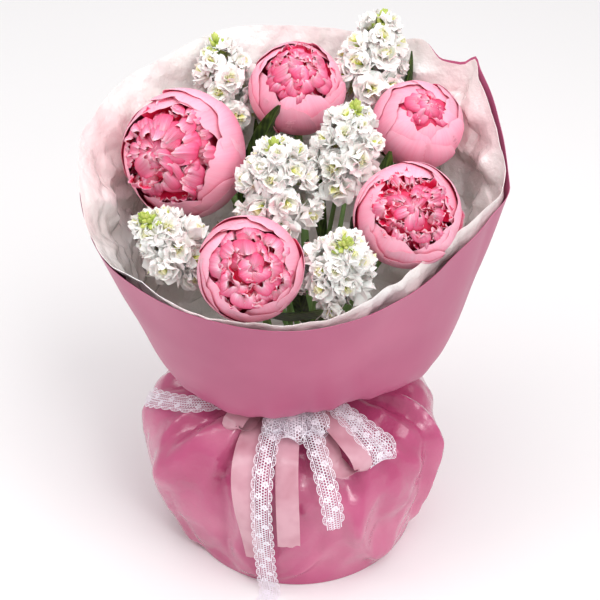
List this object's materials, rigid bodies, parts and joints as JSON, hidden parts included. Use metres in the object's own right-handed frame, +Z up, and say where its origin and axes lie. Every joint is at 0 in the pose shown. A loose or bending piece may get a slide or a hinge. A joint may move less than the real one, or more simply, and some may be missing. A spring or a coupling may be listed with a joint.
{
  "type": "wrapped bunch of peonies",
  "caption": "Hand-tied bunch of pink peonies and white stock in a film wrap with a pale liner, tied with ribbons over a gathered skirt that it stands on.",
  "frame": {"origin": "middle of the skirt's flat foot, on the surface that the bunch stands on", "axes": "+Z up; -Y towards the front, where the wrap is lowest and the ribbons hang; +X to the right of someone who faces the front"},
  "size_m": [0.3952, 0.339, 0.4986],
  "materials": {
    "peony_petal": "soft satin petals, pale outside and deep pink inside",
    "stock_floret": "matte white petals",
    "stem": "waxy green",
    "twine": "coarse natural fibre",
    "skirt_film": "glossy creased pink film",
    "collar_film": "half-matte smooth pink film",
    "liner_film": "glossy pearl-white crinkled film",
    "satin": "pale pink satin weave",
    "lace": "open white lace"
  },
  "bodies": {
    "root": {"peony_1_bloom": "peony_petal", "peony_2_bloom": "peony_petal", "peony_3_bloom": "peony_petal", "peony_4_bloom": "peony_petal", "peony_5_bloom": "peony_petal", "peony_1_stem": "stem", "peony_2_stem": "stem", "peony_3_stem": "stem", "peony_4_stem": "stem", "peony_5_stem": "stem", "stock_1_florets": "stock_floret", "stock_2_florets": "stock_floret", "stock_3_florets": "stock_floret", "stock_4_florets": "stock_floret", "stock_5_florets": "stock_floret", "stock_6_florets": "stock_floret", "stock_1_stem": "stem", "stock_2_stem": "stem", "stock_3_stem": "stem", "stock_4_stem": "stem", "stock_5_stem": "stem", "stock_6_stem": "stem", "stem_tie": "twine", "liner_film": "liner_film", "collar_film": "collar_film", "skirt_film": "skirt_film", "satin_ribbon": "satin", "lace_ribbon": "lace"}
  },
  "joints": []
}
